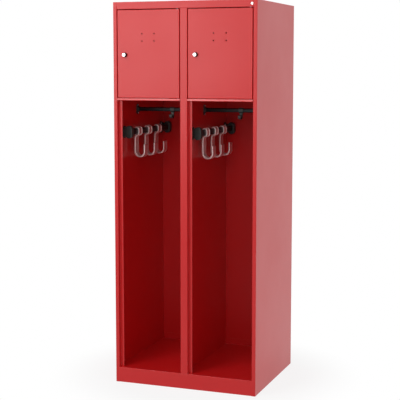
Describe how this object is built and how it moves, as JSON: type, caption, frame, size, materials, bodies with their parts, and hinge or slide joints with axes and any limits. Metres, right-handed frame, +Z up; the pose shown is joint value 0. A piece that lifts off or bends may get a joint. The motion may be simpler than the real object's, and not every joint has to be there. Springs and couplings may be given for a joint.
{
  "type": "firefighter locker",
  "caption": "Red sheet-steel locker on a plinth: lockable compartments with hinged doors above open hanging spaces with hook rails, sliding hooks and clothes rails.",
  "frame": {"origin": "middle of the underside of the bounding box, on the floor", "axes": "+X to the right as seen from the front, +Y to the back, +Z up"},
  "size_m": [0.7, 0.616, 1.8],
  "materials": {
    "red_powder_coat": "semi-gloss red powder coat",
    "black_coated_tube": "satin black coated tube",
    "black_moulding": "moulded black plastic",
    "cast_aluminium": "satin die-cast aluminium",
    "black_die_cast": "black-lacquered zinc die casting",
    "lock_chrome": "polished chrome",
    "zinc_steel": "zinc-plated steel",
    "plain_aluminium": "plain satin disc",
    "rubber": "black rubber"
  },
  "bodies": {
    "carcass": {"left_side_panel": "red_powder_coat", "right_side_panel": "red_powder_coat", "centre_post": "red_powder_coat", "centre_partition": "red_powder_coat", "back_panel": "red_powder_coat", "top_panel": "red_powder_coat", "floor_pan": "red_powder_coat", "rear_plinth": "red_powder_coat", "door_buffers": "rubber", "header_disc": "plain_aluminium", "bracket_fixings": "zinc_steel", "socket_fixings": "zinc_steel", "left_shelf": "red_powder_coat", "left_hinge_pins": "zinc_steel", "left_hook_rail": "black_coated_tube", "left_front_bracket": "black_moulding", "left_rear_bracket": "black_moulding", "left_clothes_rail": "black_coated_tube", "left_rail_socket_1": "black_moulding", "left_rail_socket_2": "black_moulding", "right_shelf": "red_powder_coat", "right_hinge_pins": "zinc_steel", "right_hook_rail": "black_coated_tube", "right_front_bracket": "black_moulding", "right_rear_bracket": "black_moulding", "right_clothes_rail": "black_coated_tube", "right_rail_socket_1": "black_moulding", "right_rail_socket_2": "black_moulding"},
    "left_door": {"left_door_panel": "red_powder_coat", "left_door_stiffener": "red_powder_coat", "left_lock_housing": "black_die_cast", "left_lock_nut": "zinc_steel"},
    "left_lock": {"left_lock_plug": "lock_chrome", "left_lock_cam": "zinc_steel", "left_cam_screw": "zinc_steel"},
    "left_rail_hook_1": {"left_hook_sleeve_1": "cast_aluminium", "left_hook_1": "cast_aluminium"},
    "left_rail_hook_2": {"left_hook_sleeve_2": "cast_aluminium", "left_hook_2": "cast_aluminium"},
    "left_rail_hook_3": {"left_hook_sleeve_3": "cast_aluminium", "left_hook_3": "cast_aluminium"},
    "left_clothes_hook": {"left_slide_hook": "black_moulding"},
    "right_door": {"right_door_panel": "red_powder_coat", "right_door_stiffener": "red_powder_coat", "right_lock_housing": "black_die_cast", "right_lock_nut": "zinc_steel"},
    "right_lock": {"right_lock_plug": "lock_chrome", "right_lock_cam": "zinc_steel", "right_cam_screw": "zinc_steel"},
    "right_rail_hook_1": {"right_hook_sleeve_1": "cast_aluminium", "right_hook_1": "cast_aluminium"},
    "right_rail_hook_2": {"right_hook_sleeve_2": "cast_aluminium", "right_hook_2": "cast_aluminium"},
    "right_rail_hook_3": {"right_hook_sleeve_3": "cast_aluminium", "right_hook_3": "cast_aluminium"},
    "right_clothes_hook": {"right_slide_hook": "black_moulding"}
  },
  "joints": [
    {"name": "left_door_hinge", "type": "hinge", "parent": "carcass", "child": "left_door", "pos_m": [-0.033, -0.2835, 1.56], "axis": [0, 0, 1], "range_deg": [0, 110]},
    {"name": "left_lock_turn", "type": "hinge", "parent": "left_door", "child": "left_lock", "pos_m": [-0.2905, -0.292, 1.558], "axis": [0, 1, 0], "range_deg": [0, 90]},
    {"name": "left_hook_slide_1", "type": "slide", "parent": "carcass", "child": "left_rail_hook_1", "axis": [0, 1, 0], "range_m": [-0.068, 0.038]},
    {"name": "left_hook_slide_2", "type": "slide", "parent": "carcass", "child": "left_rail_hook_2", "axis": [0, 1, 0], "range_m": [-0.038, 0.038]},
    {"name": "left_hook_slide_3", "type": "slide", "parent": "carcass", "child": "left_rail_hook_3", "axis": [0, 1, 0], "range_m": [-0.038, 0.095]},
    {"name": "left_clothes_hook_slide", "type": "slide", "parent": "carcass", "child": "left_clothes_hook", "axis": [1, 0, 0], "range_m": [-0.16, 0.135]},
    {"name": "right_door_hinge", "type": "hinge", "parent": "carcass", "child": "right_door", "pos_m": [0.3165, -0.2835, 1.56], "axis": [0, 0, 1], "range_deg": [0, 110]},
    {"name": "right_lock_turn", "type": "hinge", "parent": "right_door", "child": "right_lock", "pos_m": [0.059, -0.292, 1.558], "axis": [0, 1, 0], "range_deg": [0, 90]},
    {"name": "right_hook_slide_1", "type": "slide", "parent": "carcass", "child": "right_rail_hook_1", "axis": [0, 1, 0], "range_m": [-0.068, 0.038]},
    {"name": "right_hook_slide_2", "type": "slide", "parent": "carcass", "child": "right_rail_hook_2", "axis": [0, 1, 0], "range_m": [-0.038, 0.038]},
    {"name": "right_hook_slide_3", "type": "slide", "parent": "carcass", "child": "right_rail_hook_3", "axis": [0, 1, 0], "range_m": [-0.038, 0.095]},
    {"name": "right_clothes_hook_slide", "type": "slide", "parent": "carcass", "child": "right_clothes_hook", "axis": [1, 0, 0], "range_m": [-0.16, 0.135]}
  ]
}
